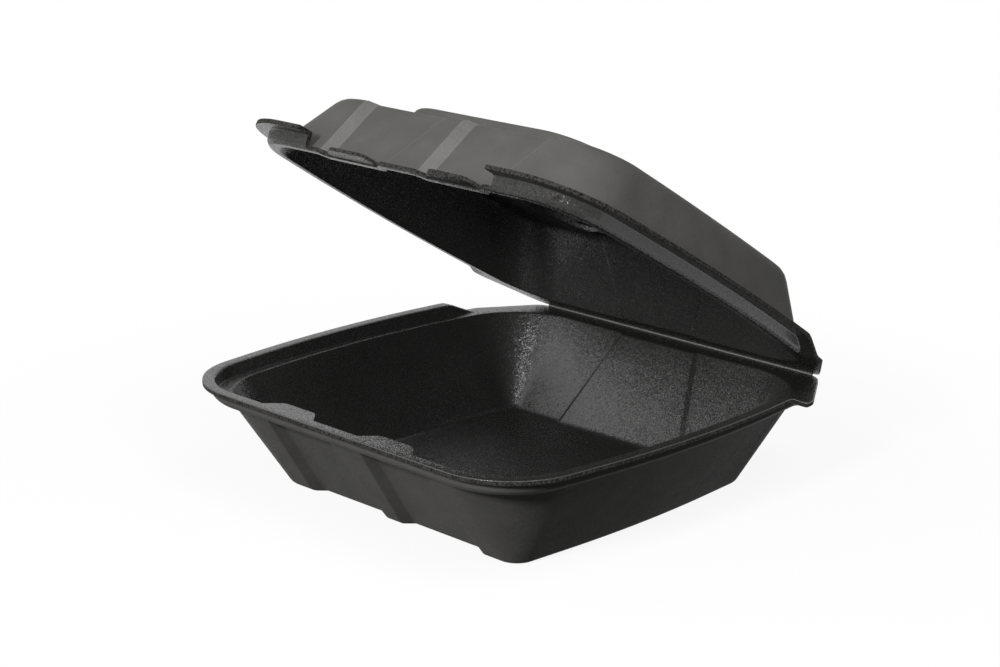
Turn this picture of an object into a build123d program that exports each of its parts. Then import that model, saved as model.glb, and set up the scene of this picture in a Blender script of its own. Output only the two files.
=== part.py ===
"""Hinged foam take-away container, standing a third open.

One sheet of foamed polystyrene is drawn into two shells in one pass: a deep tray and a shallower lid,
joined by a crushed strip of the same sheet along the back. It is written here as two solids that meet
along that living hinge, the tray in its place and the lid drawn shut and then turned open.

Frame: origin in the middle of the tray's floor, on the underside. +X runs along the hinge to the
right, +Y to the back where the hinge is, +Z up. Millimetres.
"""
import os
from math import atan, copysign, cos, hypot, pi, radians, sin, tan

from build123d import *

# The sheet
wall = 2.5                      # foam in the walls, the floor and the roof
rim_foam = 2.2                  # foam in the rim, which the trimming tool presses thinner

# The rim, seen from above. Its sides bow outwards and its front and back run straight
rim_width = 235.0               # across the middle of the bowed sides
rim_corner_width = 213.6        # across the ends of the sides
rim_front = 121.0               # from the middle of the floor to the front edge
rim_corner_radius = 39.0
hinge_back = 117.7              # from the middle of the floor to the hinge
hinge_length = 182.0
rim_back_run = 32.7             # each side turns in this far before the hinge
rim_back_radius = 10.0
bow_share = 0.6                 # share of a bowed side that is the arc

# The rim's section
tray_height = 53.8              # to the top of the flange
flange = 6.0                    # width of the flat flange
step = 6.4                      # from the flange down to the ledge
step_draft = 0.7                # how far the step leans in over its height
flange_edge = 1.2               # rounding where the flange turns down into the step
step_heel = 2.0                 # bevel under the step, where it turns in to the wall
ramp_start = 64.0               # where the flange starts to fall towards the hinge
ramp_length = 15.0
ramp_radius = 9.0

# The tray's walls, from the ledge down to the foot
tray_top_inset = 7.4            # outside of the wall, in from the rim
tray_back_inset = 8.4           # the same, in from the hinge
tray_top_radius = 42.0
foot_width = 160.2
foot_corner_width = 152.0
foot_depth = 158.4
foot_shift = 0.5                # the foot's middle lies this far in front of the origin
foot_radius = 9.0
foot_edge = 3.0                 # rounding under the foot
floor_edge = 2.0                # rounding inside, round the floor and under the roof

# The recessed panels of the front wall, with a rib between them, and the one of the back wall
panel_depth = 4.3
back_panel_depth = 2.2
panel_edge = 1.2                # rounding of the panels' edges
tray_bulge_top = 103.0          # between the outer edges of the two panels
tray_bulge_foot = 113.8
tray_rib_top = 21.0
tray_rib_foot = 9.0
tray_back_panel_top = 48.2
tray_back_panel_foot = 79.4

# The two catches on the front: tabs on the tray's flange, over tongues on the lid's lip
catch_spacing = 63.2
tab_root = 36.6
tab_tip = 20.6
tab_reach = 6.4
tab_radius = 2.0

# The lid, drawn shut
lid_height = 29.8               # from the tray's flange to the roof
lid_top_inset = 10.7            # outside of the wall at the lip, in from the rim
lid_back_inset = 11.6
lid_lip_radius = 30.0
roof_width = 184.0
roof_corner_width = 178.0
roof_depth = 167.0
roof_shift = 5.0                # the roof's middle lies this far in front of the origin
roof_radius = 27.0
roof_edge = 6.0                 # rounding round the roof
lid_bulge_lip = 105.2
lid_bulge_roof = 118.0
lid_rib_lip = 21.0
lid_rib_roof = 10.0
lid_back_panel_lip = 46.0
lid_back_panel_roof = 68.0
plateau_width = 124.0           # the raised middle of the roof
plateau_depth = 146.0
plateau_height = 6.5
plateau_flank = 3.0
plateau_radius = 28.0

# The lid's front, where the rim is cut away down to the lip and the tongues stand out
gap_width = 117.0
lip_width = 1.2                 # of the lip that is left in front of the wall
tongue_root = 34.0
tongue_tip = 25.0
tongue_setback = 0.8            # of its tip, from the tray's step when shut
tongue_radius = 3.0
tongue_foam = 1.7
tongue_rise = 1.6               # of its tip, so that it snaps under the tab

# The living hinge, where the sheet is crushed thin
hinge_taper = 4.0
hinge_foam = 0.9

# Fits and pose
shell_gap = 0.3                 # between the lid and the tray when shut, and across the hinge
step_clearance = 0.9            # between the lid's step and the tray's step
open_angle = 30.5
overrun = 20.0                  # how far a cutting tool passes the foam
least_radius = 0.4
edge_strips = 3                 # ruled strips in a rounded edge

ledge = tray_height - step
roof = tray_height + lid_height


def bowed_side(middle, corner, reach):
    """Half widths at the middle and the end of a side give its one vertex and the arc's radius."""
    rise = (middle - corner) / (1 - bow_share / 2)
    return corner + rise, bow_share * hypot(reach, rise) * reach / rise


def inset_outline(corners, inset):
    """A closed outline, each side moved inwards. Corners are (x, y, radius), anticlockwise."""
    moved = []
    for here, corner in enumerate(corners):
        before = Vector(*corners[here - 1][:2])
        point = Vector(*corner[:2])
        after = Vector(*corners[(here + 1) % len(corners)][:2])
        first = (point - before).normalized()
        second = (after - point).normalized()
        normals = [Vector(-side.Y, side.X) for side in (first, second)]
        shift = (normals[0] + normals[1]) * (inset / (1 + normals[0].dot(normals[1])))
        turns_left = first.cross(second).Z > 0
        radius = corner[2] - inset if turns_left else corner[2] + inset
        moved.append((point.X + shift.X, point.Y + shift.Y, max(radius, least_radius)))
    return moved


def room_limited(corners):
    """The same outline, with a smaller radius where two arcs would not both fit on their side."""
    points = [Vector(x, y) for x, y, _ in corners]
    radii = [radius for _, _, radius in corners]
    sides = [points[(here + 1) % len(points)] - point for here, point in enumerate(points)]
    half_tangents = [tan(radians(sides[here - 1].get_angle(side)) / 2) for here, side in enumerate(sides)]
    for here, side in enumerate(sides):
        after = (here + 1) % len(sides)
        reaches = {end: radii[end] * half_tangents[end] for end in (here, after)}
        excess = sum(reaches.values()) - (side.length - least_radius)
        if excess > 0:
            larger = max(reaches, key=reaches.get)
            radii[larger] -= excess / half_tangents[larger]
    return [(point.X, point.Y, radius) for point, radius in zip(points, radii)]


def sheet_face(corners, height, inset=0):
    """The outline as a flat face at a height."""
    moved = room_limited(inset_outline(corners, inset))
    line = FilletPolyline(*[(x, y) for x, y, _ in moved], radius=[r for _, _, r in moved], close=True)
    return Pos(0, 0, height) * make_face(line)


def mirrored(right):
    """Completes an outline that is given for its right half, from the front to the back."""
    return right + [(-x, y, radius) for x, y, radius in reversed(right)]


def rim_outline():
    side, radius = bowed_side(rim_width / 2, rim_corner_width / 2, rim_front)
    lean = (side - rim_corner_width / 2) / rim_front
    turn_y = hinge_back - rim_back_run
    return mirrored([
        (rim_corner_width / 2, -rim_front, rim_corner_radius),
        (side, 0, radius),
        (side - lean * turn_y, turn_y, rim_back_radius),
        (hinge_length / 2, hinge_back - shell_gap / 2, rim_back_radius),
    ])


def wall_outline(width, corner_width, front, back, radius, bulge, rib, back_panel):
    """The outside of a shell's walls at one level, with its recessed panels."""
    reach = (back - front) / 2
    side, side_radius = bowed_side(width / 2, corner_width / 2, reach)
    return mirrored([
        (rib / 2, front, panel_edge),
        (rib / 2 + panel_depth, front + panel_depth, panel_edge),
        (bulge / 2 - panel_depth, front + panel_depth, panel_edge),
        (bulge / 2, front, panel_edge),
        (corner_width / 2, front, radius),
        (side, (front + back) / 2, side_radius),
        (corner_width / 2, back, radius),
        (back_panel / 2, back, panel_edge),
        (back_panel / 2 - back_panel_depth, back - back_panel_depth, panel_edge),
    ])


def tray_mouth():
    """The sizes of the tray's walls at the ledge, in the order of wall_outline."""
    return (rim_width - 2 * tray_top_inset, rim_corner_width - 2 * tray_top_inset,
            -rim_front + tray_top_inset, hinge_back - tray_back_inset, tray_top_radius,
            tray_bulge_top, tray_rib_top, tray_back_panel_top)


def tray_foot():
    return (foot_width, foot_corner_width, -foot_depth / 2 - foot_shift, foot_depth / 2 - foot_shift,
            foot_radius, tray_bulge_foot, tray_rib_foot, tray_back_panel_foot)


def lid_lip():
    return (rim_width - 2 * lid_top_inset, rim_corner_width - 2 * lid_top_inset,
            -rim_front + lid_top_inset, hinge_back - lid_back_inset, lid_lip_radius,
            lid_bulge_lip, lid_rib_lip, lid_back_panel_lip)


def lid_roof():
    return (roof_width, roof_corner_width, -roof_depth / 2 - roof_shift, roof_depth / 2 - roof_shift,
            roof_radius, lid_bulge_roof, lid_rib_roof, lid_back_panel_roof)


def between(low, high, share):
    """The walls' sizes a share of the way from one level to another."""
    return [a + (b - a) * share for a, b in zip(low, high)]


def drawn_walls(end, end_height, mouth, mouth_height, flat_height, edge, inset=0):
    """A block with straight walls from its open mouth to a flat end, and a rounded edge round that end.

    End and mouth are the walls' sizes there. Each strip of the rounding is ruled, like the walls.
    """
    rise = mouth_height - end_height
    end_front, mouth_front = end[2], mouth[2]
    lean = atan(abs(mouth_front - end_front) / abs(rise))
    turn = pi / 2 - lean
    sections = []
    for strip in range(edge_strips + 1):
        angle = turn * strip / edge_strips
        up = edge * (1 - cos(angle))
        back = edge * (tan(turn / 2) - sin(angle)) + up * tan(lean)
        height = flat_height + copysign(up, rise)
        level = between(end, mouth, (height - end_height) / rise)
        sections.append(sheet_face(wall_outline(*level), height, inset + back))
    sections.append(sheet_face(wall_outline(*mouth), mouth_height, inset))
    return loft(sections, ruled=True)


def level_cut(thickness, narrow, wide, height):
    """The width that a level cut shows of a wall that leans out from narrow to wide."""
    return thickness / cos(atan((wide - narrow) / 2 / height))


def rim_sheet(lift, thickness):
    """A sheet that is level, falls in a soft step to the ledge's level and runs level to the hinge."""
    low, top = ledge + lift, tray_height + lift
    path = [(-rim_front - overrun, top), (ramp_start, top), (ramp_start + ramp_length, low),
            (hinge_back + overrun, low)]
    lower = FilletPolyline(*path, radius=ramp_radius)
    upper = Pos(0, thickness) * lower
    ends = [Line(lower @ 0, upper @ 0), Line(lower @ 1, upper @ 1)]
    profile = make_face([*lower.edges(), *upper.edges(), *ends])
    return extrude(Plane.YZ * profile, amount=rim_width / 2 + overrun, both=True)


def make_rim(lift, step_inset):
    """Flange, step and ledge of one shell, with the ledge still closed right across.

    Lift is the height of the foam's lower side over the tray's upper one, so the two rims nest.
    """
    outline = rim_outline()
    low, top = ledge + lift, tray_height + lift
    foot_inset = step_inset + step_draft
    trimmed = extrude(sheet_face(outline, low - overrun), amount=step + 2 * overrun)
    outside = loft([sheet_face(outline, low, foot_inset + step_heel),
                    sheet_face(outline, low + step_heel, foot_inset),
                    sheet_face(outline, top + rim_foam, step_inset)], ruled=True)
    inside = loft([sheet_face(outline, low + rim_foam, foot_inset + rim_foam),
                   sheet_face(outline, top + rim_foam - flange_edge, step_inset + rim_foam),
                   sheet_face(outline, top + rim_foam, step_inset + rim_foam - flange_edge / 2)],
                  ruled=True)
    flange_sheet = rim_sheet(lift, rim_foam) & trimmed
    return (flange_sheet + outside) - inside - rim_sheet(lift + rim_foam, overrun)


def catch_plates(root, tip, root_y, tip_y, corner, height, foam, rise=0):
    """A tapered plate in the middle of each catch, its root sunk in the foam behind it.

    Its tip stands higher than its root by the rise.
    """
    points = [(-root / 2, root_y), (-tip / 2, tip_y), (tip / 2, tip_y), (root / 2, root_y)]
    line = FilletPolyline(*points, radius=[0, corner, corner, 0], close=True)
    profile = make_face(Polyline((root_y, height), (tip_y, height + rise), (tip_y, height + rise + foam),
                                 (root_y, height + foam), close=True))
    column = extrude(Pos(0, 0, height) * make_face(line), amount=rise + foam)
    plate = column & extrude(Plane.YZ * profile, amount=root, both=True)
    return [Pos(side * catch_spacing / 2, 0) * plate for side in (-1, 1)]


def crush_cut(skin_height, away):
    """What crushing takes off one shell along the hinge. Away is 1 if its far side is up, or -1."""
    taper_start = hinge_back - hinge_taper
    full = skin_height + away * rim_foam
    thin = skin_height + away * hinge_foam
    clear = full + away * overrun
    profile = make_face(Polyline((taper_start, full), (hinge_back, thin), (hinge_back, clear),
                                 (taper_start, clear), close=True))
    return extrude(Plane.YZ * profile, amount=rim_width / 2, both=True)


def make_tray():
    """The deep shell, with the tabs on the front of its flange."""
    across = level_cut(wall, foot_width, rim_width - 2 * tray_top_inset, ledge)
    walls = drawn_walls(tray_foot(), 0, tray_mouth(), ledge, 0, foot_edge)
    cavity = drawn_walls(tray_foot(), 0, tray_mouth(), ledge, wall, floor_edge, across)
    rim = make_rim(-rim_foam, flange - rim_foam)
    inner_edge = -rim_front + flange
    tabs = catch_plates(tab_root, tab_tip, inner_edge - rim_foam, inner_edge + tab_reach, tab_radius,
                        tray_height - rim_foam, rim_foam)
    return (rim + walls) - cavity - crush_cut(ledge, -1) + tabs


def raised_roof(inset):
    """The raised middle of the roof, or the space under it when inset by the foam."""
    half_x, half_y = plateau_width / 2, plateau_depth / 2
    outline = [(-half_x, -half_y, plateau_radius), (half_x, -half_y, plateau_radius),
               (half_x, half_y, plateau_radius), (-half_x, half_y, plateau_radius)]
    return loft([sheet_face(outline, roof - wall, inset),
                 sheet_face(outline, roof + plateau_height - inset, inset + plateau_flank)], ruled=True)


def make_lid():
    """The shallow shell, drawn shut on the tray, with the tongues on its front lip."""
    across = level_cut(wall, roof_width, rim_width - 2 * lid_top_inset, roof - ledge)
    lip = ledge + shell_gap
    walls = drawn_walls(lid_roof(), roof, lid_lip(), lip, roof, roof_edge)
    cavity = drawn_walls(lid_roof(), roof, lid_lip(), lip, roof - wall, floor_edge, across)
    lip_face = sheet_face(wall_outline(*lid_lip()), lip - overrun, -lip_width)
    lip_block = extrude(lip_face, amount=overrun + rim_foam)
    gap = Pos(0, -rim_front, tray_height) * Box(gap_width, rim_front, 2 * overrun) - lip_block
    rim = make_rim(shell_gap, flange + step_clearance) - gap - crush_cut(lip, 1)
    wall_y = -rim_front + lid_top_inset + panel_depth + wall / 2
    tip_y = -rim_front + flange + step_draft + tongue_setback
    tongues = catch_plates(tongue_root, tongue_tip, wall_y, tip_y, tongue_radius, lip, tongue_foam,
                           tongue_rise)
    return (rim + walls + raised_roof(0)) - cavity - raised_roof(wall) + tongues


def turned_open(piece):
    """The lid swung up about the hinge, from shut."""
    hinge = Pos(0, hinge_back, ledge + shell_gap / 2)
    return hinge * Rot(-open_angle, 0, 0) * hinge.inverse() * piece


tray = make_tray()
lid = make_lid()
parts = {"tray": tray, "lid": turned_open(lid)}
os.makedirs("parts", exist_ok=True)
for name, piece in parts.items():
    export_step(piece, f"parts/{name}.step")
    box = piece.bounding_box()
    print(name, "volume", round(piece.volume), "solids", len(piece.solids()), "valid", piece.is_valid,
          "size", [round(size, 2) for size in box.size])
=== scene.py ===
# %% [markdown]
# # A hinged foam take-away container
#
# The real container is one sheet of black foamed polystyrene. A warm sheet is drawn over a mould in one
# pass, which makes a deep tray and a shallower lid side by side. The strip between them is then crushed
# thin, so that it bends as a hinge, and the outline is punched out, which leaves an open, dark edge all
# round. Here the lid stands about thirty degrees open, and the camera sees the front right corner.
#
# The measured model of the tray and the lid comes first. Everything made in Blender keeps its sizes.

# %% Load the measured frame
import math

import bmesh
import bpy
from mathutils import Matrix, Vector


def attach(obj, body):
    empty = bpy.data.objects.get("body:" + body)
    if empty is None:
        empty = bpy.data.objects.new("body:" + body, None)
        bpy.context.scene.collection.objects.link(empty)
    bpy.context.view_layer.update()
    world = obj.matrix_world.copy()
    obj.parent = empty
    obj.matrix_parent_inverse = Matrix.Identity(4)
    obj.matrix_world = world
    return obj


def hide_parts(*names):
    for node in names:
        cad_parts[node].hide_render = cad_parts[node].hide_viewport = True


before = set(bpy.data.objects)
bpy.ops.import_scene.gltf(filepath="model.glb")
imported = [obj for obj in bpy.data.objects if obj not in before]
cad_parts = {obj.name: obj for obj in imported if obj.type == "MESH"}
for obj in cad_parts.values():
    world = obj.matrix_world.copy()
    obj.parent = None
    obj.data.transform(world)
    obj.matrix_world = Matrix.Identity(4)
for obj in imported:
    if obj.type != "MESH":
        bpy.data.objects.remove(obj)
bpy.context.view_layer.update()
MM = 0.001

# %% [markdown]
# ## The camera
#
# The photo was taken with a long lens from about a metre away. The camera is placed as a photographer
# would say it: so far round to the right of the front, so high, so far from the point it aims at.
# Turning it a little about its own line of sight gives the slight tilt of the photo.

# %% Place the camera
CAMERA_TURN = math.radians(43.54)
CAMERA_HEIGHT = math.radians(15.95)
CAMERA_ROLL = math.radians(0.82)
CAMERA_DISTANCE = 1030.6 * MM
AIM = Vector((-11.63, 0.0, 76.97)) * MM
LENS = 77.97
SHIFT_Y = -0.01164

toward = Vector((math.sin(CAMERA_TURN) * math.cos(CAMERA_HEIGHT),
                 -math.cos(CAMERA_TURN) * math.cos(CAMERA_HEIGHT), math.sin(CAMERA_HEIGHT)))
right = (-toward).cross(Vector((0, 0, 1))).normalized()
up = right.cross(-toward)
level = Matrix((right, up, toward)).transposed().to_4x4()
camera_data = bpy.data.cameras.new("camera")
camera_data.lens = LENS
camera_data.shift_y = SHIFT_Y
camera = bpy.data.objects.new("camera", camera_data)
camera.matrix_world = (Matrix.Translation(AIM + toward * CAMERA_DISTANCE) @ level
                       @ Matrix.Rotation(CAMERA_ROLL, 4, "Z"))
bpy.context.scene.collection.objects.link(camera)
bpy.context.scene.camera = camera
bpy.context.scene.view_settings.view_transform = "Standard"
print("camera at", [round(value, 3) for value in camera.matrix_world.translation])

# %% [markdown]
# ## Helpers for node materials
#
# A material is a small graph. These helpers start one and add a node to it with its settings, so that
# each recipe below reads from top to bottom in the order in which the surface is built up.
#
# The photo has a plain white ground. The last helper makes the floor or the surroundings white only where
# the camera sees them, straight or through a reflection or glass, and leaves the light that bounces alone.


# %% Node helpers
def new_material(name):
    """An empty graph with its output, ready for a recipe."""
    material = bpy.data.materials.new(name)
    material.use_nodes = True
    material.node_tree.nodes.clear()
    output = material.node_tree.nodes.new("ShaderNodeOutputMaterial")
    return material, material.node_tree, output


def add_node(tree, kind, values=None, **settings):
    """One node, with its settings and the values of its unlinked sockets."""
    node = tree.nodes.new(kind)
    for name, value in settings.items():
        setattr(node, name, value)
    for socket, value in (values or {}).items():
        node.inputs[socket].default_value = value
    return node


def grey(level):
    """A colour without hue."""
    return level, level, level, 1


def where_seen(tree, bounced, seen):
    """One shader for the light that bounces, and another for the camera, reflections and glass."""
    path = add_node(tree, "ShaderNodeLightPath")
    straight = add_node(tree, "ShaderNodeMath", operation="MAXIMUM")
    tree.links.new(path.outputs["Is Camera Ray"], straight.inputs[0])
    tree.links.new(path.outputs["Is Glossy Ray"], straight.inputs[1])
    any_way = add_node(tree, "ShaderNodeMath", operation="MAXIMUM")
    tree.links.new(straight.outputs[0], any_way.inputs[0])
    tree.links.new(path.outputs["Is Transmission Ray"], any_way.inputs[1])
    mix = add_node(tree, "ShaderNodeMixShader")
    tree.links.new(any_way.outputs[0], mix.inputs["Fac"])
    tree.links.new(bounced.outputs[0], mix.inputs[1])
    tree.links.new(seen.outputs[0], mix.inputs[2])
    return mix.outputs[0]


# %% [markdown]
# ## The table and the light
#
# The walls that lean over the table are nearly black in the photo, so the table itself gave little light.
# The floor is therefore a dull grey sheet to the light that bounces, and white where it is seen. White
# has two parts there: its own glow, which stays even, and a share of paper that takes the light and so
# shows the shadow. That share fades out away from the container.
#
# An operator acts on all that is selected, and the measured pieces come in selected. So everything is
# deselected before each new piece.

# %% The floor
FLOOR_SIZE = 14.0
PAPER_SHARE = 0.10
PAPER_FADES_FROM, PAPER_FADES_TO = 0.16, 0.40
BOUNCED_LEVEL, PAPER_LEVEL, WHITE = 0.06, 0.95, 1.0


def deselect_all():
    bpy.ops.object.select_all(action="DESELECT")


deselect_all()
bpy.ops.mesh.primitive_plane_add(size=FLOOR_SIZE)
floor = bpy.context.object
floor.name = "table_top"
table_white, tree, output = new_material("table_white")
link = tree.links.new
dull = add_node(tree, "ShaderNodeBsdfDiffuse", {"Color": grey(BOUNCED_LEVEL)})
paper = add_node(tree, "ShaderNodeBsdfDiffuse", {"Color": grey(PAPER_LEVEL)})
own_white = add_node(tree, "ShaderNodeEmission", {"Color": grey(WHITE), "Strength": WHITE})
place = add_node(tree, "ShaderNodeTexCoord")
away = add_node(tree, "ShaderNodeVectorMath", operation="LENGTH")
own_share = add_node(tree, "ShaderNodeMapRange", {
    "From Min": PAPER_FADES_FROM, "From Max": PAPER_FADES_TO, "To Min": 1 - PAPER_SHARE, "To Max": WHITE},
    interpolation_type="SMOOTHSTEP")
white_side = add_node(tree, "ShaderNodeMixShader")
link(place.outputs["Object"], away.inputs[0])
link(away.outputs["Value"], own_share.inputs["Value"])
link(own_share.outputs["Result"], white_side.inputs["Fac"])
link(paper.outputs[0], white_side.inputs[1])
link(own_white.outputs[0], white_side.inputs[2])
link(where_seen(tree, dull, white_side), output.inputs["Surface"])
floor.data.materials.append(table_white)
print("floor:", FLOOR_SIZE, "m square, paper to", PAPER_FADES_TO, "m from the middle")

# %% [markdown]
# The room gives a little light from all round, and four lamps do the rest. A large one high on the right
# models the lid. A small one over the front has its reflection in the tray's far corner, as a bright
# streak. A large one on the left makes the cells of the back wall glint, and a low one beside it reaches
# under the lid and on to the front of the tray.

# %% Surroundings and lamps
world = bpy.data.worlds.new("studio")
bpy.context.scene.world = world
world.use_nodes = True
tree = world.node_tree
tree.nodes.clear()
output = tree.nodes.new("ShaderNodeOutputWorld")
SKY_LIGHT = 0.14
LAMP_DISTANCE = 1.8
dim = add_node(tree, "ShaderNodeBackground", {"Color": grey(WHITE), "Strength": SKY_LIGHT})
white = add_node(tree, "ShaderNodeBackground", {"Color": grey(WHITE), "Strength": WHITE})
tree.links.new(where_seen(tree, dim, white), output.inputs["Surface"])


def add_lamp(name, turn, height, size, power):
    """A square soft lamp that faces the container, placed like the camera."""
    turn, height = math.radians(turn), math.radians(height)
    data = bpy.data.lights.new(name, "AREA")
    data.size = size
    data.energy = power
    lamp = bpy.data.objects.new(name, data)
    away = Vector((math.sin(turn) * math.cos(height), -math.cos(turn) * math.cos(height),
                   math.sin(height)))
    lamp.location = AIM + away * LAMP_DISTANCE
    lamp.rotation_euler = away.to_track_quat("Z", "Y").to_euler()
    bpy.context.scene.collection.objects.link(lamp)


add_lamp("lamp_high_right", turn=76, height=55, size=1.0, power=17)
add_lamp("lamp_front", turn=13, height=27, size=0.25, power=24)
add_lamp("lamp_left", turn=-50, height=31, size=1.0, power=4)
add_lamp("lamp_low_left", turn=-30, height=7, size=0.8, power=5)
print("lamps:", {lamp.name: lamp.energy for lamp in bpy.data.lights})

# %% [markdown]
# ## Black foam
#
# Foamed polystyrene is a mass of tiny closed cells under a thin satin skin. Seen close, the skin is
# never smooth: each cell pushes it up or lets it sink by a few hundredths of a millimetre. Where the
# sheet was punched out there is no skin, and the cut cells lie open as small pits, which get painted
# shade.
#
# All the finishes come from one recipe with different numbers: every cell leans its own way and has its
# own gloss, a softer cell pattern is the bump, and a slow cloud varies the colour. The flanks of the
# lid's panels get a paler grey, which is painted sheen, and on the front of the lid's step the skin is
# broken, so that the cells show.


# %% The recipe for a foam finish
MIDDLE = (0.5, 0.5, 0.5)
SOFT_CELLS, OPEN_CELLS = 0.6, 0.8
CLOUD_SCALE, CLOUD_DETAIL = 60.0, 3.0
CLOUD_DARK, CLOUD_PALE = 0.8, 1.25
PIT_SHADE_CORE, PIT_SHADE_RIM = 0.15, 0.6


def foam(name, colour, cell, tilt, depth, roughness, spread, shine, pit_shade=0.0):
    """A foam finish, from the size of its cells.

    Tilt is how far a cell leans and depth how deep its bump is. Spread is how far cells differ in
    roughness, and the pit shade is how much painted shade darkens the open cells.
    """
    material, tree, output = new_material(name)
    link = tree.links.new
    skin = add_node(tree, "ShaderNodeBsdfPrincipled", {"Specular IOR Level": shine})
    place = add_node(tree, "ShaderNodeTexCoord")
    single = add_node(tree, "ShaderNodeTexVoronoi", {"Scale": 1 / cell})
    link(place.outputs["Object"], single.inputs["Vector"])

    centred = add_node(tree, "ShaderNodeVectorMath", {1: MIDDLE}, operation="SUBTRACT")
    link(single.outputs["Color"], centred.inputs[0])
    lean = add_node(tree, "ShaderNodeVectorMath", {"Scale": tilt}, operation="SCALE")
    link(centred.outputs["Vector"], lean.inputs[0])
    cells = add_node(tree, "ShaderNodeTexVoronoi", {"Scale": SOFT_CELLS / cell}, feature="SMOOTH_F1")
    link(place.outputs["Object"], cells.inputs["Vector"])
    bump = add_node(tree, "ShaderNodeBump", {"Strength": 1.0, "Distance": depth}, invert=True)
    link(cells.outputs["Distance"], bump.inputs["Height"])
    leaning_normal = add_node(tree, "ShaderNodeVectorMath", operation="ADD")
    link(bump.outputs["Normal"], leaning_normal.inputs[0])
    link(lean.outputs["Vector"], leaning_normal.inputs[1])
    normal = add_node(tree, "ShaderNodeVectorMath", operation="NORMALIZE")
    link(leaning_normal.outputs["Vector"], normal.inputs[0])
    link(normal.outputs["Vector"], skin.inputs["Normal"])

    own_number = add_node(tree, "ShaderNodeSeparateColor")
    link(single.outputs["Color"], own_number.inputs["Color"])
    rough = add_node(tree, "ShaderNodeMapRange", {"To Min": roughness - spread,
                                                  "To Max": roughness + spread})
    link(own_number.outputs["Red"], rough.inputs["Value"])
    link(rough.outputs["Result"], skin.inputs["Roughness"])

    cloud = add_node(tree, "ShaderNodeTexNoise", {"Scale": CLOUD_SCALE, "Detail": CLOUD_DETAIL})
    link(place.outputs["Object"], cloud.inputs["Vector"])
    tones = add_node(tree, "ShaderNodeValToRGB")
    for end, strength in zip(tones.color_ramp.elements, (CLOUD_DARK, CLOUD_PALE)):
        end.color = (*(value * strength for value in colour), 1)
    link(cloud.outputs["Fac"], tones.inputs["Fac"])
    base = tones.outputs["Color"]
    # Painted shade: the open cells are darkened towards their middles, as if shade lay in them.
    if pit_shade:
        open_cells = add_node(tree, "ShaderNodeTexVoronoi", {"Scale": OPEN_CELLS / cell})
        link(place.outputs["Object"], open_cells.inputs["Vector"])
        pit_shade_factor = add_node(tree, "ShaderNodeMapRange", {"From Min": PIT_SHADE_CORE, "From Max": PIT_SHADE_RIM,
                                                    "To Min": 1 - pit_shade, "To Max": 1.0})
        link(open_cells.outputs["Distance"], pit_shade_factor.inputs["Value"])
        shaded = add_node(tree, "ShaderNodeVectorMath", operation="SCALE")
        link(base, shaded.inputs[0])
        link(pit_shade_factor.outputs["Result"], shaded.inputs["Scale"])
        base = shaded.outputs["Vector"]
    link(base, skin.inputs["Base Color"])
    link(skin.outputs[0], output.inputs["Surface"])
    return material


# %% [markdown]
# The numbers belong to the places on the sheet. The outside is a dull, dark grey skin, whose grey also
# holds its satin sheen, painted in. The inside is glossier, and its cells glint; its colour is the same
# foam darkened by painted shade. The rest show more of their cells: the flanks, whose paler grey is
# painted sheen, the punched edge, and the step's front in two stages, so that it fades out round the
# corner.

# %% The foam's finishes
# Painted sheen: the outside's grey is the dark skin made paler by its satin sheen, painted into the colour.
OUTER_SKIN_AND_SHEEN = foam("foam_outer_skin_and_sheen", colour=(0.099, 0.0975, 0.094), cell=0.6 * MM, tilt=0.10,
                  depth=0.06 * MM, roughness=0.40, spread=0.05, shine=0.006)
# Painted shade: the inside is the same foam, its colour darkened by the shade inside the shells.
INNER_SKIN_AND_SHADE = foam("foam_inner_skin_and_shade", colour=(0.017, 0.0167, 0.0162), cell=0.45 * MM, tilt=0.24,
                  depth=0.04 * MM, roughness=0.32, spread=0.09, shine=0.65)
CUT_FOAM = foam("foam_cut_edge", colour=(0.040, 0.039, 0.037), cell=1.0 * MM, tilt=0.5,
                depth=0.4 * MM, roughness=0.75, spread=0.10, shine=0.1, pit_shade=0.95)
# Painted sheen: the flanks' paler grey stands in for the sheen of light on them.
FLANK_SHEEN_SKIN = foam("foam_flank_painted_sheen", colour=(0.160, 0.157, 0.152), cell=0.7 * MM, tilt=0.30,
                      depth=0.12 * MM, roughness=0.40, spread=0.05, shine=0.02)
STEP_SKIN = foam("foam_open_celled_step", colour=(0.030, 0.029, 0.0275), cell=0.9 * MM, tilt=0.55,
                 depth=0.3 * MM, roughness=0.55, spread=0.10, shine=0.3, pit_shade=0.8)
HALF_OPEN_SKIN = foam("foam_half_open_step", colour=(0.024, 0.0235, 0.0225), cell=0.7 * MM, tilt=0.40,
                      depth=0.15 * MM, roughness=0.42, spread=0.10, shine=0.45, pit_shade=0.4)
print("finishes:", [item.name for item in bpy.data.materials if item.name.startswith("foam")])

# %% [markdown]
# ## The outlines of the shells
#
# Seen from above, each level of the container is a rounded square with bowed sides, and the walls have
# recessed panels in the front and the back. Such an outline is written as its right half: corners with a
# radius and a number of points for the arc. Every outline has the same number of points in all, so that
# one level can be joined to the next, point to point. Where the rim runs straight past a panel, it still
# has that panel's corners, with no turn in them.

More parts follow.
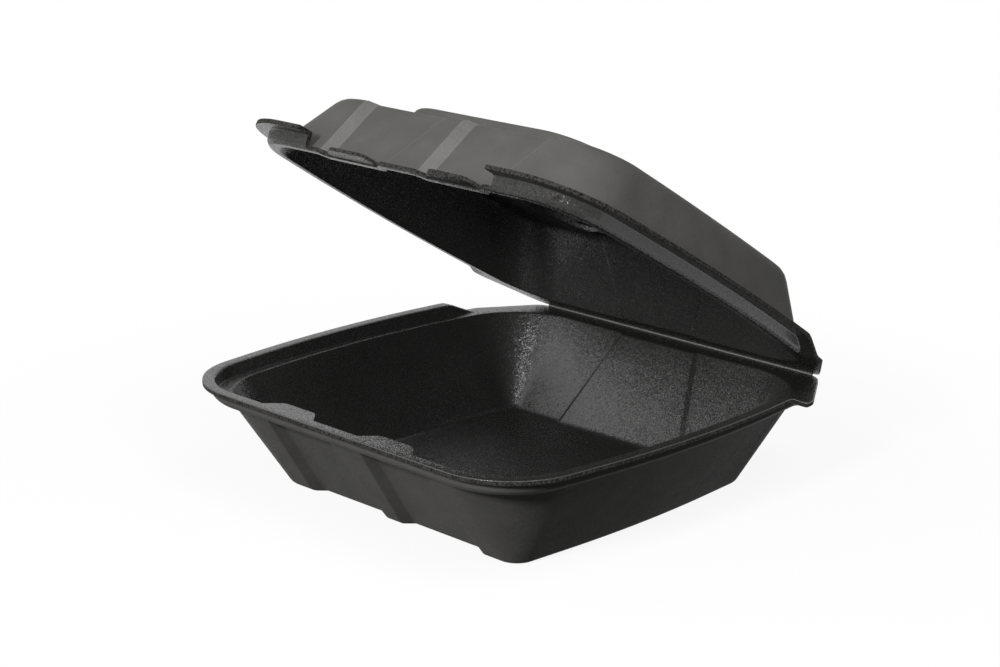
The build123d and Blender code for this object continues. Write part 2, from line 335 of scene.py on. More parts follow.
# %% Sizes of the sheet
WALL = 2.5 * MM
RIM_FOAM = 2.2 * MM
RIM_HALF, RIM_CORNER = 117.5 * MM, 106.8 * MM
RIM_FRONT, RIM_RADIUS = -121.0 * MM, 39.0 * MM
HINGE_Y, HINGE_HALF = 117.7 * MM, 91.0 * MM
BACK_TURN_Y, BACK_TURN_RADIUS = 85.0 * MM, 10.0 * MM
BOW = 0.6
TRAY_TOP, LEDGE = 53.8 * MM, 47.4 * MM
FLANGE, DRAFT, HEEL = 6.0 * MM, 0.7 * MM, 2.0 * MM
RAMP_START, RAMP_LENGTH, RAMP_SOFT = 64.0 * MM, 15.0 * MM, 1.9 * MM
PANEL, BACK_PANEL = 4.3 * MM, 2.2 * MM
PANEL_EDGE = 0.9 * MM
LEAST_RADIUS = 0.4 * MM
SHELL_GAP = 0.3 * MM
STEP_CLEARANCE = 0.9 * MM
TRAY_MOUTH_HALF, TRAY_FOOT_HALF = 110.1 * MM, 80.1 * MM
LID_MOUTH_HALF, LID_ROOF_HALF = 106.8 * MM, 92.0 * MM
SIDE_POINTS = 6
EDGE_POINTS, CORNER_POINTS, BOW_POINTS, TURN_POINTS = 5, 16, 48, 6
BACK_POINTS = TURN_POINTS + SIDE_POINTS + TURN_POINTS
STRAIGHT = 0.001
print("the tray is", round(TRAY_TOP / MM, 1), "mm high and its sheet", round(WALL / MM, 1), "mm thick")

# %% [markdown]
# A corner with a radius becomes an arc of points. A side that bows outwards is written the same way, as
# one corner in its middle with a very large radius. To make the inside of a sheet from its outside, every
# side moves inwards and the corners are found again where the moved sides meet.


# %% Points round an outline
def bowed_side(middle, corner, reach):
    """The one vertex of a bowed side and its radius, from the half widths at its middle and its end."""
    rise = (middle - corner) / (1 - BOW / 2)
    return corner + rise, BOW * math.hypot(reach, rise) * reach / rise


def mirrored(half):
    """Both halves of an outline that is given from the front's middle round the right to the back."""
    return half + [(-x, y, radius, points) for x, y, radius, points in reversed(half)]


def inset_corners(corners, inset):
    """Moves every side of an outline inwards. Panel edges keep their radius, corners lose the inset."""
    moved = []
    for here, (x, y, radius, points) in enumerate(corners):
        point = Vector((x, y))
        first = (point - Vector(corners[here - 1][:2])).normalized()
        second = (Vector(corners[(here + 1) % len(corners)][:2]) - point).normalized()
        shift = Vector((-first.y - second.y, first.x + second.x)) * (inset / (1 + first.dot(second)))
        if radius > PANEL_EDGE:
            radius = max(radius - inset, LEAST_RADIUS)
        moved.append((x + shift.x, y + shift.y, radius, points))
    return moved


def outline_points(corners, inset=0.0):
    """All points of an outline: arcs at the corners and evenly spaced points on the stretches between."""
    corners = inset_corners(corners, inset)
    arcs = []
    for here, (x, y, radius, points) in enumerate(corners):
        point = Vector((x, y))
        first = (point - Vector(corners[here - 1][:2])).normalized()
        second = (Vector(corners[(here + 1) % len(corners)][:2]) - point).normalized()
        turn = math.atan2(first.x * second.y - first.y * second.x, first.dot(second))
        reach = radius * math.tan(abs(turn) / 2) or PANEL_EDGE / 2
        start, end = point - first * reach, point + second * reach
        shares = [step / (points - 1) for step in range(points)]
        if abs(turn) < STRAIGHT:
            arcs.append([start.lerp(end, share) for share in shares])
            continue
        centre = start + Vector((-first.y, first.x)) * math.copysign(radius, turn)
        arcs.append([centre + Matrix.Rotation(turn * share, 2) @ (start - centre) for share in shares])
    points = []
    for here, arc in enumerate(arcs):
        after = arcs[(here + 1) % len(arcs)][0]
        points += arc
        points += [arc[-1].lerp(after, step / (SIDE_POINTS + 1)) for step in range(1, SIDE_POINTS + 1)]
    return points


# %% [markdown]
# The rim and the four levels of the walls are written with these helpers. Each level gives its half width
# in the middle and at the corner, how far it reaches to the front and the back, its corner radius, and
# where its front rib, its two front panels and its back panel end.


# %% Outlines of the rim, the walls and the roof
RIB_HALF, BULGE_HALF, BACK_PANEL_HALF = 10.5 * MM, 51.5 * MM, 24.1 * MM


def rim_outline():
    """The rim's edge. It carries the panels' corners as points in line."""
    side, radius = bowed_side(RIM_HALF, RIM_CORNER, -RIM_FRONT)
    lean = (side - RIM_CORNER) / -RIM_FRONT
    panel_ends = [(x, RIM_FRONT, 0.0, EDGE_POINTS)
                  for x in (RIB_HALF, RIB_HALF + PANEL, BULGE_HALF - PANEL, BULGE_HALF)]
    back = HINGE_Y - SHELL_GAP / 2
    return mirrored(panel_ends + [
        (RIM_CORNER, RIM_FRONT, RIM_RADIUS, CORNER_POINTS),
        (side, 0.0, radius, BOW_POINTS),
        (side - lean * BACK_TURN_Y, BACK_TURN_Y, BACK_TURN_RADIUS, TURN_POINTS),
        (HINGE_HALF, back, BACK_TURN_RADIUS, TURN_POINTS),
        (BACK_PANEL_HALF, back, 0.0, EDGE_POINTS),
        (BACK_PANEL_HALF - BACK_PANEL, back, 0.0, EDGE_POINTS)])


def wall_outline(half, corner, front, back, radius, bulge, rib, back_panel):
    """The outside of the walls at one level. Bulge, rib and back panel are half widths."""
    side, side_radius = bowed_side(half, corner, (back - front) / 2)
    return mirrored([
        (rib, front, PANEL_EDGE, EDGE_POINTS), (rib + PANEL, front + PANEL, PANEL_EDGE, EDGE_POINTS),
        (bulge - PANEL, front + PANEL, PANEL_EDGE, EDGE_POINTS), (bulge, front, PANEL_EDGE, EDGE_POINTS),
        (corner, front, radius, CORNER_POINTS), (side, (front + back) / 2, side_radius, BOW_POINTS),
        (corner, back, radius, BACK_POINTS), (back_panel, back, PANEL_EDGE, EDGE_POINTS),
        (back_panel - BACK_PANEL, back - BACK_PANEL, PANEL_EDGE, EDGE_POINTS)])


RIM = rim_outline()
TRAY_MOUTH = wall_outline(half=TRAY_MOUTH_HALF, corner=99.4 * MM, front=-113.6 * MM, back=109.3 * MM,
                          radius=42.0 * MM, bulge=BULGE_HALF, rib=RIB_HALF, back_panel=BACK_PANEL_HALF)
TRAY_FOOT = wall_outline(half=TRAY_FOOT_HALF, corner=76.0 * MM, front=-79.7 * MM, back=78.7 * MM,
                         radius=9.0 * MM, bulge=56.9 * MM, rib=4.5 * MM, back_panel=39.7 * MM)
LID_MOUTH = wall_outline(half=LID_MOUTH_HALF, corner=96.1 * MM, front=-110.3 * MM, back=106.1 * MM,
                         radius=30.0 * MM, bulge=52.6 * MM, rib=RIB_HALF, back_panel=23.0 * MM)
LID_ROOF = wall_outline(half=LID_ROOF_HALF, corner=89.0 * MM, front=-88.5 * MM, back=78.5 * MM,
                        radius=27.0 * MM, bulge=59.0 * MM, rib=5.0 * MM, back_panel=34.0 * MM)
print("points in each outline:", {len(outline_points(shape)) for shape in (RIM, TRAY_MOUTH, LID_ROOF)})

# %% [markdown]
# ## Drawing a sheet through its folds
#
# In section the sheet is a chain of straight stretches with a soft fold between each two. So a shell is
# written as a list of folds, from the middle of its underside, round the cut edge of the rim, to the
# middle of its upper side. Each fold is an outline at a height, and how far its rounding reaches along
# the sheet. The rounding is a curve through three control points, worked out at every point of the
# outline, so a fold may change along its length, as it does where the rim falls towards the hinge.
#
# A circle is then placed on the first of these rings, and its edge is extruded again and again, each
# time on to the next ring.


# %% From folds to rings
FOLD_STEPS, STRETCH_STEPS, LONG_STRETCH = 5, 5, 20 * MM
MOST_REACH_SHARE, STRETCH_END_SHARE = 0.45, 0.1


def flange_level(y):
    """The flange's top at a distance from the middle: level, and a soft ramp down to the ledge."""
    slope = (TRAY_TOP - LEDGE) / RAMP_LENGTH

    def fallen(past):
        if past <= -RAMP_SOFT:
            return 0.0
        return slope * ((past + RAMP_SOFT) ** 2 / (4 * RAMP_SOFT) if past < RAMP_SOFT else past)
    return TRAY_TOP - fallen(y - RAMP_START) + fallen(y - RAMP_START - RAMP_LENGTH)


def ring_at(corners, inset, height):
    """An outline in space. Height is a number, or a function of x and y."""
    return [Vector((x, y, height(x, y) if callable(height) else height))
            for x, y in outline_points(corners, inset)]


def rounded_rings(folds):
    """Rings along the sheet: a curve round each fold, and a few rings on each long straight stretch.

    A fold is its ring, the reach of its rounding and the finish of the sheet that follows it.
    """
    rings, finishes = [], []
    for here, (ring, reach, finish) in enumerate(folds):
        if here in (0, len(folds) - 1) or reach == 0.0:
            parts = [ring]
        else:
            before, after = folds[here - 1][0], folds[here + 1][0]
            parts = [[] for _ in range(FOLD_STEPS)]
            for last, point, following in zip(before, ring, after):
                start, end = (point + (other - point) * min(MOST_REACH_SHARE, reach / (other - point).length)
                              for other in (last, following))
                for step, part in enumerate(parts):
                    share = step / (FOLD_STEPS - 1)
                    part.append(start.lerp(point, share).lerp(point.lerp(end, share), share))
        rings += parts
        finishes += [finish] * len(parts)
        if here < len(folds) - 1 and (folds[here + 1][0][0] - ring[0]).length > LONG_STRETCH:
            following = folds[here + 1][0]
            for step in range(1, STRETCH_STEPS):
                share = STRETCH_END_SHARE + (1 - 2 * STRETCH_END_SHARE) * step / STRETCH_STEPS
                rings.append([a.lerp(b, share) for a, b in zip(ring, following)])
                finishes.append(finish)
    return rings, finishes


# %% [markdown]
# Every vertex of the first circle gets a number, its station round the outline, and the extruded ones
# inherit it. So each new edge loop can be put on its ring. Each also notes its row, which afterwards tells
# which finish its faces get.


# %% From rings to a shell
def drawn_shell(name, folds):
    """A closed shell whose skin runs through the rings, with a material for each stretch of it."""
    rings, finishes = rounded_rings(folds)
    deselect_all()
    bpy.ops.mesh.primitive_circle_add(vertices=len(rings[0]), fill_type="NGON")
    shell = bpy.context.object
    shell.name = name
    materials = [OUTER_SKIN_AND_SHEEN, INNER_SKIN_AND_SHADE, CUT_FOAM]
    for material in materials:
        shell.data.materials.append(material)
    bpy.ops.object.mode_set(mode="EDIT")
    bpy.ops.mesh.select_mode(type="EDGE")
    mesh = bmesh.from_edit_mesh(shell.data)
    station = mesh.verts.layers.int.new("station")
    row = mesh.verts.layers.int.new("row")
    for index, vertex in enumerate(mesh.verts):
        vertex[station] = index
    for number, ring in enumerate(rings):
        if number:
            bpy.ops.mesh.extrude_edges_move()
            mesh = bmesh.from_edit_mesh(shell.data)
            station = mesh.verts.layers.int["station"]
            row = mesh.verts.layers.int["row"]
        for vertex in mesh.verts:
            if vertex.select:
                vertex.co = ring[vertex[station]]
                vertex[row] = number
    bpy.ops.mesh.edge_face_add()
    mesh = bmesh.from_edit_mesh(shell.data)
    row = mesh.verts.layers.int["row"]
    for face in mesh.faces:
        face.material_index = materials.index(finishes[min(vertex[row] for vertex in face.verts)])
    mesh.verts.layers.int.remove(mesh.verts.layers.int["station"])
    mesh.verts.layers.int.remove(mesh.verts.layers.int["row"])
    bpy.ops.mesh.select_all(action="SELECT")
    bpy.ops.mesh.normals_make_consistent(inside=False)
    bpy.ops.object.mode_set(mode="OBJECT")
    print(name, "rings", len(rings), "faces", len(shell.data.polygons))
    return shell


def shrunk(ring, share):
    """The ring drawn in towards its middle, for the level middle of a floor or a roof."""
    middle = sum(ring, Vector()) / len(ring)
    return [middle.lerp(point, share) for point in ring]


# %% [markdown]
# ## The tray
#
# The tray's chain of folds starts under the floor. It goes out to the foot, up the wall to the ledge, and
# under the ledge to the step, whose foot has a small heel. It passes round the punched edge of the flange
# and comes back on the inside: flange, step, ledge, wall and floor. The sheet is the same thickness all
# along, but a level cut shows a leaning wall wider than it is.
#
# Numbers that end in fold say how far the rounding reaches from each fold, in the order of the chain.


# %% Helpers for both shells
CRUSHED_SHARE, CRUSHED_WIDTH, HINGE_END = 0.35, 1.5 * MM, 4.0 * MM
LEVEL_MIDDLE_SHARE = 0.8
CUT_FOLD, RIM_EDGE_FOLD = 0.25 * MM, 0.4 * MM
HEEL_FOLD, FLANGE_FOLD, MOUTH_FOLD = 0.8 * MM, 1.0 * MM, 1.0 * MM


def between(first, second, share):
    """The outline a share of the way from one to another with the same corners."""
    return [(*(a + (b - a) * share for a, b in zip(one[:3], two[:3])), one[3])
            for one, two in zip(first, second)]


def leaning(thickness, narrow, wide, height):
    """The width at which a level cut shows a leaning wall."""
    return thickness / math.cos(math.atan((wide - narrow) / height))


def crushed(x, y):
    """How much of the rim's thickness is left: the hinge's edge is pressed thin."""
    at_hinge = y > HINGE_Y - CRUSHED_WIDTH and abs(x) < HINGE_HALF - HINGE_END
    return CRUSHED_SHARE if at_hinge else 1.0


# %% Draw the tray
FOOT_FOLD, FLOOR_FOLD = 2.8 * MM, 2.6 * MM
UNDER_LEDGE_FOLD, STEP_TOP_FOLD, STEP_FOOT_FOLD = 0.9 * MM, 1.7 * MM, 1.0 * MM


def draw_tray():
    """The tray's shell, from under its floor to the top of it."""
    across = leaning(WALL, TRAY_FOOT_HALF, TRAY_MOUTH_HALF, LEDGE)
    step_foot = FLANGE - RIM_FOAM + DRAFT
    under = LEDGE - RIM_FOAM
    foot = ring_at(TRAY_FOOT, 0, 0.0)
    floor_ring = ring_at(TRAY_FOOT, across, WALL)
    return drawn_shell("tray_shell", [
        (shrunk(foot, LEVEL_MIDDLE_SHARE), 0.0, OUTER_SKIN_AND_SHEEN),
        (foot, FOOT_FOLD, OUTER_SKIN_AND_SHEEN),
        (ring_at(between(TRAY_FOOT, TRAY_MOUTH, under / LEDGE), 0, under), UNDER_LEDGE_FOLD, OUTER_SKIN_AND_SHEEN),
        (ring_at(RIM, step_foot + HEEL, under), HEEL_FOLD, OUTER_SKIN_AND_SHEEN),
        (ring_at(RIM, step_foot, lambda x, y: min(under + HEEL, flange_level(y) - RIM_FOAM)),
         HEEL_FOLD, OUTER_SKIN_AND_SHEEN),
        (ring_at(RIM, FLANGE - RIM_FOAM, lambda x, y: flange_level(y) - RIM_FOAM), FLANGE_FOLD, OUTER_SKIN_AND_SHEEN),
        (ring_at(RIM, 0, lambda x, y: flange_level(y) - RIM_FOAM * crushed(x, y)), CUT_FOLD, CUT_FOAM),
        (ring_at(RIM, 0, lambda x, y: flange_level(y)), RIM_EDGE_FOLD, INNER_SKIN_AND_SHADE),
        (ring_at(RIM, FLANGE, lambda x, y: flange_level(y)), STEP_TOP_FOLD, INNER_SKIN_AND_SHADE),
        (ring_at(RIM, FLANGE + DRAFT, LEDGE), STEP_FOOT_FOLD, INNER_SKIN_AND_SHADE),
        (ring_at(TRAY_MOUTH, across, LEDGE), MOUTH_FOLD, INNER_SKIN_AND_SHADE),
        (floor_ring, FLOOR_FOLD, INNER_SKIN_AND_SHADE),
        (shrunk(floor_ring, LEVEL_MIDDLE_SHARE), 0.0, INNER_SKIN_AND_SHADE)])


tray = draw_tray()

# %% [markdown]
# ## The lid, drawn shut
#
# The lid is the same kind of chain, and it is drawn where it lies when shut, because there its levels are
# level. Its lip lies on the tray's ledge, its flange on the tray's flange, and its step passes inside the
# tray's with a little clearance. The roof has a raised middle, the plateau. One more ring just inside the
# roof's edge keeps the rounding there even all round.


# %% Draw the lid
ROOF = 83.6 * MM
ROOF_EDGE, ROOF_SHELF = 6.0 * MM, 13.4 * MM
PLATEAU_RISE, PLATEAU_FLANK = 6.5 * MM, 3.0 * MM
PLATEAU_HALF_X, PLATEAU_HALF_Y, PLATEAU_RADIUS = 62.0 * MM, 73.0 * MM, 28.0 * MM
FRONT_CORNER_SHARES, BACK_CORNER_SHARES = (0.12, 0.22, 0.8, 0.9), (0.75, 0.6)
PLATEAU_UNDER_FOLD, PLATEAU_FOOT_FOLD, PLATEAU_TOP_FOLD = 1.6 * MM, 1.4 * MM, 1.8 * MM
LID_FLANGE_FOLD, TRENCH_FOLD, WALL_FOOT_FOLD = 1.2 * MM, 0.4 * MM, 0.5 * MM


def plateau_outline():
    """The raised middle of the roof. Its front and back carry the panels' corners as points in line."""
    x, y = PLATEAU_HALF_X, PLATEAU_HALF_Y
    straight = x - PLATEAU_RADIUS
    front = [(straight * share, -y, 0.0, EDGE_POINTS) for share in FRONT_CORNER_SHARES]
    back = [(straight * share, y, 0.0, EDGE_POINTS) for share in BACK_CORNER_SHARES]
    return mirrored(front + [(x, -y, PLATEAU_RADIUS, CORNER_POINTS), (x, 0.0, 0.0, BOW_POINTS),
                             (x, y, PLATEAU_RADIUS, BACK_POINTS)] + back)


def draw_lid():
    """The lid's shell, from the underside of its roof to the top of it."""
    across = leaning(WALL, LID_ROOF_HALF, LID_MOUTH_HALF, ROOF - LEDGE)
    plateau = plateau_outline()
    lip = LEDGE + SHELL_GAP
    trench = lip + RIM_FOAM
    step_in = FLANGE + STEP_CLEARANCE
    wall_foot = between(LID_MOUTH, LID_ROOF, RIM_FOAM / (ROOF - lip))
    under_top = ring_at(plateau, WALL + PLATEAU_FLANK, ROOF + PLATEAU_RISE - WALL)
    top = ring_at(plateau, PLATEAU_FLANK, ROOF + PLATEAU_RISE)
    return drawn_shell("lid_shell", [
        (shrunk(under_top, LEVEL_MIDDLE_SHARE), 0.0, INNER_SKIN_AND_SHADE),
        (under_top, PLATEAU_UNDER_FOLD, INNER_SKIN_AND_SHADE),
        (ring_at(plateau, WALL, ROOF - WALL), PLATEAU_FOOT_FOLD, INNER_SKIN_AND_SHADE),
        (ring_at(LID_ROOF, across + ROOF_EDGE, ROOF - WALL), 0.0, INNER_SKIN_AND_SHADE),
        (ring_at(LID_ROOF, across, ROOF - WALL), ROOF_EDGE - WALL, INNER_SKIN_AND_SHADE),
        (ring_at(LID_MOUTH, across, lip), MOUTH_FOLD, INNER_SKIN_AND_SHADE),
        (ring_at(RIM, step_in + DRAFT + HEEL, lip), HEEL_FOLD, INNER_SKIN_AND_SHADE),
        (ring_at(RIM, step_in + DRAFT, lambda x, y: min(lip + HEEL, flange_level(y) + SHELL_GAP)),
         HEEL_FOLD, INNER_SKIN_AND_SHADE),
        (ring_at(RIM, step_in, lambda x, y: flange_level(y) + SHELL_GAP), FLANGE_FOLD, INNER_SKIN_AND_SHADE),
        (ring_at(RIM, 0, lambda x, y: flange_level(y) + SHELL_GAP), RIM_EDGE_FOLD, CUT_FOAM),
        (ring_at(RIM, 0, lambda x, y: flange_level(y) + SHELL_GAP + RIM_FOAM * crushed(x, y)),
         CUT_FOLD, OUTER_SKIN_AND_SHEEN),
        (ring_at(RIM, step_in + RIM_FOAM, lambda x, y: flange_level(y) + SHELL_GAP + RIM_FOAM),
         LID_FLANGE_FOLD, OUTER_SKIN_AND_SHEEN),
        (ring_at(RIM, step_in + RIM_FOAM + DRAFT, trench), TRENCH_FOLD, OUTER_SKIN_AND_SHEEN),
        (ring_at(wall_foot, 0, trench), WALL_FOOT_FOLD, OUTER_SKIN_AND_SHEEN),
        (ring_at(LID_ROOF, 0, ROOF), ROOF_EDGE, OUTER_SKIN_AND_SHEEN),
        (ring_at(LID_ROOF, ROOF_SHELF, ROOF), 0.0, OUTER_SKIN_AND_SHEEN),
        (ring_at(plateau, 0, ROOF), PLATEAU_FOOT_FOLD, OUTER_SKIN_AND_SHEEN),
        (top, PLATEAU_TOP_FOLD, OUTER_SKIN_AND_SHEEN),
        (shrunk(top, LEVEL_MIDDLE_SHARE), 0.0, OUTER_SKIN_AND_SHEEN)])


lid = draw_lid()

# %% [markdown]
# ## Where the skin changes
#
# The lid's front has two places where the sheet looks different. The flanks of its panels get a paler
# grey, a painted sheen, and show as pale strips with fine pale lines at their edges. The step on the front
# is so open that its cells show. Both are picked out by their place and the way they face, with no mask
# drawn on the surface.


# %% Flanks with painted sheen, and the open-celled step
LID_PANELS, LID_FLANK_FROM, FLANK_TURN = 62.0 * MM, 50.0 * MM, 0.12
STEP_FRONT, STEP_TURN, HALF_OPEN_TURN = -88.0 * MM, 0.78, 0.34


def refinish(shell, finish, wanted):
    """Gives a finish to the faces that pass a test on their middle and their direction."""
    shell.data.materials.append(finish)
    number = len(shell.data.materials) - 1
    chosen = [face for face in shell.data.polygons if wanted(face.center, face.normal)]
    for face in chosen:
        face.material_index = number
    print(finish.name, "on", len(chosen), "faces")


def is_panel_flank(middle, normal):
    """The flanks of the front panels, between the lip and the roof."""
    in_front = middle.y < -PLATEAU_HALF_Y and abs(middle.x) < LID_PANELS
    return in_front and abs(normal.x) > FLANK_TURN and normal.y < 0 and LID_FLANK_FROM < middle.z < ROOF


def is_front_step(middle, normal, turn):
    """The step that rises from the lip to the flange, as far round the corner as it still faces the front."""
    return normal.y < -turn and middle.y < STEP_FRONT and LEDGE < middle.z < TRAY_TOP


# Painted sheen on the flanks that face sideways.
refinish(lid, FLANK_SHEEN_SKIN, is_panel_flank)
refinish(lid, HALF_OPEN_SKIN, lambda middle, normal: is_front_step(middle, normal, HALF_OPEN_TURN))
refinish(lid, STEP_SKIN, lambda middle, normal: is_front_step(middle, normal, STEP_TURN))

# %% [markdown]
# ## The two catches
#
# Nothing is added to the sheet for the catches: the punch leaves two tabs on the tray's flange and two
# tongues on the lid's lip, and the tongues are pressed under the tabs. Between its ends the front of the
# lid has no flange at all, only a narrow lip that follows the panels. The tongues rise towards their
# tips, which makes them snap.
#
# A tab or a tongue starts as a block. Its far end is scaled to a taper and a tongue's is lifted, and its
# corners are bevelled. It is then joined to the shell by a Boolean modifier, which also brings along its
# dark cut edges.


# %% A tab or a tongue
SAME_PLACE = 0.4 * MM
CORNER_STEPS = 5
UPRIGHT = 0.5


def select_where(mesh, wanted):
    """Selects the vertices that pass a test on their place, and what lies between them."""
    for vertex in mesh.verts:
        vertex.select_set(bool(wanted(vertex.co)))
    mesh.select_flush_mode()


def tapered_plate(name, x, root, tip, bottom, thickness, corner, rise=0.0):
    """A plate from root to tip, each a half width and a y. Rise lifts the tip's underside."""
    (root_half, root_y), (tip_half, tip_y) = root, tip
    deselect_all()
    bpy.ops.mesh.primitive_cube_add(size=1, location=(x, (root_y + tip_y) / 2, bottom + thickness / 2),
                                    scale=(2 * root_half, abs(tip_y - root_y), thickness))
    plate = bpy.context.object
    plate.name = name
    bpy.ops.object.transform_apply()
    plate.data.materials.append(INNER_SKIN_AND_SHADE)
    plate.data.materials.append(CUT_FOAM)
    bpy.ops.object.mode_set(mode="EDIT")
    bpy.ops.mesh.select_mode(type="VERT")
    bpy.ops.mesh.select_all(action="DESELECT")
    mesh = bmesh.from_edit_mesh(plate.data)
    select_where(mesh, lambda place: abs(place.y - tip_y) < SAME_PLACE)
    bpy.ops.transform.resize(value=(tip_half / root_half, 1, 1), center_override=(x, tip_y, bottom))
    bpy.ops.transform.translate(value=(0, 0, rise))
    bpy.ops.mesh.select_mode(type="EDGE")
    mesh = bmesh.from_edit_mesh(plate.data)
    for edge in mesh.edges:
        ends = [vertex.co for vertex in edge.verts]
        at_tip = all(abs(end.y - tip_y) < SAME_PLACE for end in ends)
        edge.select_set(at_tip and abs(ends[0].x - ends[1].x) < SAME_PLACE)
    bpy.ops.mesh.bevel(offset=corner, segments=CORNER_STEPS)
    mesh = bmesh.from_edit_mesh(plate.data)
    for face in mesh.faces:
        face.material_index = int(abs(face.normal.z) < UPRIGHT)
    bpy.ops.object.mode_set(mode="OBJECT")
    return plate


def combine(shell, tool, operation):
    """A Boolean between the shell and a tool, applied at once, after which the tool is deleted."""
    deselect_all()
    shell.select_set(True)
    bpy.context.view_layer.objects.active = shell
    boolean = shell.modifiers.new(operation.lower(), "BOOLEAN")
    boolean.operation = operation
    boolean.object = tool
    boolean.solver = "EXACT"
    boolean.material_mode = "TRANSFER"
    bpy.ops.object.modifier_apply(modifier=boolean.name)
    bpy.data.objects.remove(tool, do_unlink=True)


# %% [markdown]
# The tabs lie level with the tray's flange. They are set lower by a hair, so that the Boolean meets no two
# faces in one plane.

# %% The tray's tabs
CATCH_X = 31.6 * MM
TAB_ROOT, TAB_TIP, TAB_REACH, TAB_CORNER = 18.3 * MM, 10.3 * MM, 6.4 * MM, 2.0 * MM
FLUSH = 0.03 * MM
inner_edge = RIM_FRONT + FLANGE
for side in (-1, 1):
    tab = tapered_plate("tab", side * CATCH_X, (TAB_ROOT, inner_edge - RIM_FOAM),
                        (TAB_TIP, inner_edge + TAB_REACH), TRAY_TOP - RIM_FOAM - FLUSH, RIM_FOAM,
                        corner=TAB_CORNER)
    combine(tray, tab, "UNION")
print("tray with tabs:", len(tray.data.polygons), "faces")

# %% [markdown]
# The lid's flange is punched away in front of the panels. The cutter is a block whose back follows the
# panels at the width of the lip. It is used twice, because the lip is wider at its foot than above.

# %% Cut the lid's flange away in front, down to the lip
GAP_HALF = 58.5 * MM
GAP_BOTTOM, LIP_TOP, GAP_TOP = 40.0 * MM, LEDGE + SHELL_GAP + RIM_FOAM, 62.0 * MM
LIP_WIDTH, WALL_MARGIN, OVERRUN = 1.4 * MM, 0.5 * MM, 10 * MM


def gap_block(lip_width, bottom, top):
    """A block in front of the lip: its back follows the panels, and its ends are square."""
    lip_line = [point for point in outline_points(LID_MOUTH, -lip_width)
                if abs(point.x) < GAP_HALF - lip_width and point.y < 0]
    lip_line.sort(key=lambda point: point.x)
    front = RIM_FRONT - OVERRUN
    border = [Vector((-GAP_HALF, front)), Vector((GAP_HALF, front)),
              Vector((GAP_HALF, lip_line[-1].y))] + lip_line[::-1] + [Vector((-GAP_HALF, lip_line[0].y))]
    deselect_all()
    bpy.ops.mesh.primitive_circle_add(vertices=len(border), fill_type="NGON")
    block = bpy.context.object
    for vertex, point in zip(block.data.vertices, border):
        vertex.co = (point.x, point.y, bottom)
    block.data.materials.append(CUT_FOAM)
    bpy.ops.object.mode_set(mode="EDIT")
    bpy.ops.mesh.extrude_region_move(TRANSFORM_OT_translate={"value": (0, 0, top - bottom)})
    bpy.ops.mesh.select_all(action="SELECT")
    bpy.ops.mesh.normals_make_consistent(inside=False)
    bpy.ops.object.mode_set(mode="OBJECT")
    return block


combine(lid, gap_block(LIP_WIDTH, GAP_BOTTOM, LIP_TOP), "DIFFERENCE")
combine(lid, gap_block(WALL_MARGIN, LIP_TOP, GAP_TOP), "DIFFERENCE")
print("lid with its lip:", len(lid.data.polygons), "faces")

# %% [markdown]
# The tongues are thinner than the lip that they grow from, and their tips rise.

# %% The lid's tongues
TONGUE_ROOT, TONGUE_TIP, TONGUE_CORNER = 18.0 * MM, 11.5 * MM, 3.0 * MM
TONGUE_ROOT_Y, TONGUE_TIP_Y = -104.6 * MM, -113.7 * MM
TONGUE_FOAM, TONGUE_RISE = 1.7 * MM, 1.6 * MM
for side in (-1, 1):
    tongue = tapered_plate("tongue", side * CATCH_X, (TONGUE_ROOT, TONGUE_ROOT_Y),
                           (TONGUE_TIP, TONGUE_TIP_Y), LEDGE + SHELL_GAP + FLUSH, TONGUE_FOAM,
                           corner=TONGUE_CORNER, rise=TONGUE_RISE)
    combine(lid, tongue, "UNION")
print("lid with tongues:", len(lid.data.polygons), "faces")

# %% [markdown]
# ## Opening the lid
#
# The finished lid is turned about the hinge's line, and the turn is applied to its mesh, so that the object
# itself stays at the origin, unturned.

# %% Open the lid about its hinge
OPEN_ANGLE = math.radians(30.5)
HINGE = Vector((0.0, HINGE_Y, LEDGE + SHELL_GAP / 2))
deselect_all()
lid.select_set(True)
bpy.context.view_layer.objects.active = lid
lid.matrix_world = (Matrix.Translation(HINGE) @ Matrix.Rotation(-OPEN_ANGLE, 4, "X")
                    @ Matrix.Translation(-HINGE))
bpy.ops.object.transform_apply()
print("the lid's highest point:", round(max(vertex.co.z for vertex in lid.data.vertices), 4), "m")

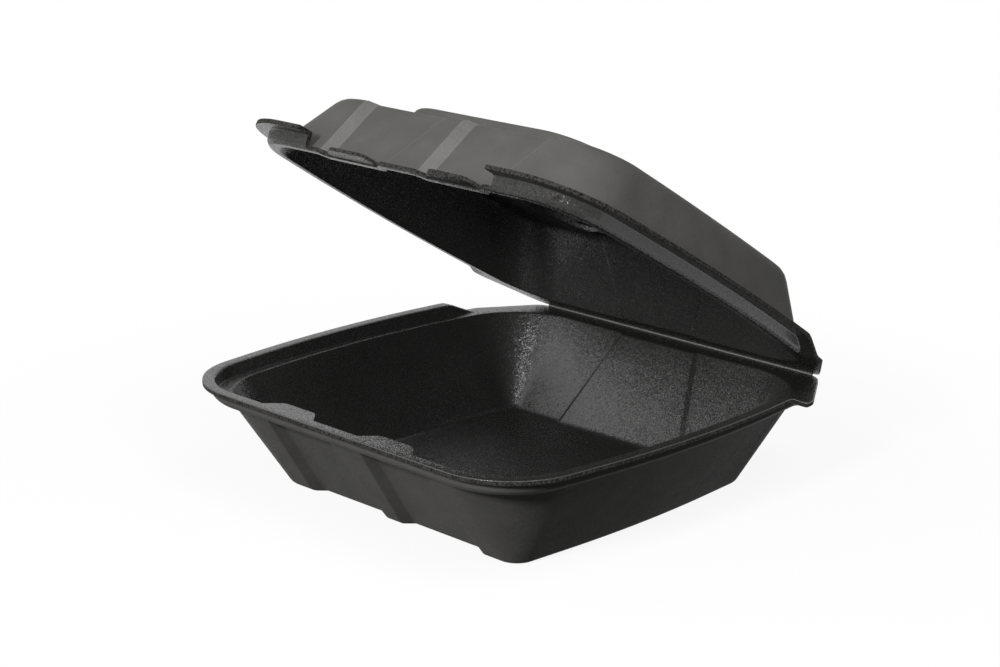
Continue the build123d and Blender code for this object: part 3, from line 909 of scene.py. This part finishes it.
# %% [markdown]
# Soft shading hides the facets wherever the sheet turns gently, and keeps the punched edges crisp. Each
# shell then rides on the moving body of its measured piece and takes that piece's place in the picture.

# %% Soft shading and the bodies they ride on
SMOOTH_UNDER = math.radians(35)
for shell, node in ((tray, "tray"), (lid, "lid")):
    deselect_all()
    shell.select_set(True)
    bpy.context.view_layer.objects.active = shell
    bpy.ops.object.shade_smooth_by_angle(angle=SMOOTH_UNDER)
    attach(shell, node)
    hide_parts(node)

# %% [markdown]
# ## The living hinge
#
# Along the hinge the sheet is crushed until its cells collapse, so that it becomes a thin tough skin
# that bends instead of breaking. It shows as one fine bright line between two dark ledges. A slim round
# bead on the hinge's own line looks the same however far the lid is open. Its gloss is real, and its
# pale grey is a painted highlight.

# %% The crushed crease
CREASE_RADIUS, CREASE_END = 0.8 * MM, 0.5 * MM
CREASE_HALF = HINGE_HALF - HINGE_END
CREASE_SIDES, CREASE_END_STEPS = 16, 3
deselect_all()
bpy.ops.mesh.primitive_cylinder_add(vertices=CREASE_SIDES, radius=CREASE_RADIUS, depth=2 * CREASE_HALF,
                                    location=HINGE, rotation=(0, math.pi / 2, 0), end_fill_type="NGON")
crease = bpy.context.object
crease.name = "hinge_crease"
bpy.ops.object.transform_apply()
bpy.ops.object.mode_set(mode="EDIT")
bpy.ops.mesh.select_mode(type="EDGE")
mesh = bmesh.from_edit_mesh(crease.data)
for edge in mesh.edges:
    edge.select_set(abs(edge.verts[0].co.x - edge.verts[1].co.x) < SAME_PLACE)
bpy.ops.mesh.bevel(offset=CREASE_END, segments=CREASE_END_STEPS)
bpy.ops.object.mode_set(mode="OBJECT")
# Painted highlight: the crease's grey is far paler than the skin round it, to show the bright line.
CREASE_HIGHLIGHT_SKIN = foam("foam_crease_painted_highlight", colour=(0.12, 0.118, 0.114), cell=0.6 * MM, tilt=0.2,
                   depth=0.1 * MM, roughness=0.30, spread=0.10, shine=0.5)
crease.data.materials.append(CREASE_HIGHLIGHT_SKIN)
bpy.ops.object.shade_smooth_by_angle(angle=SMOOTH_UNDER)
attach(crease, "tray")
print("crease:", len(crease.data.polygons), "faces")
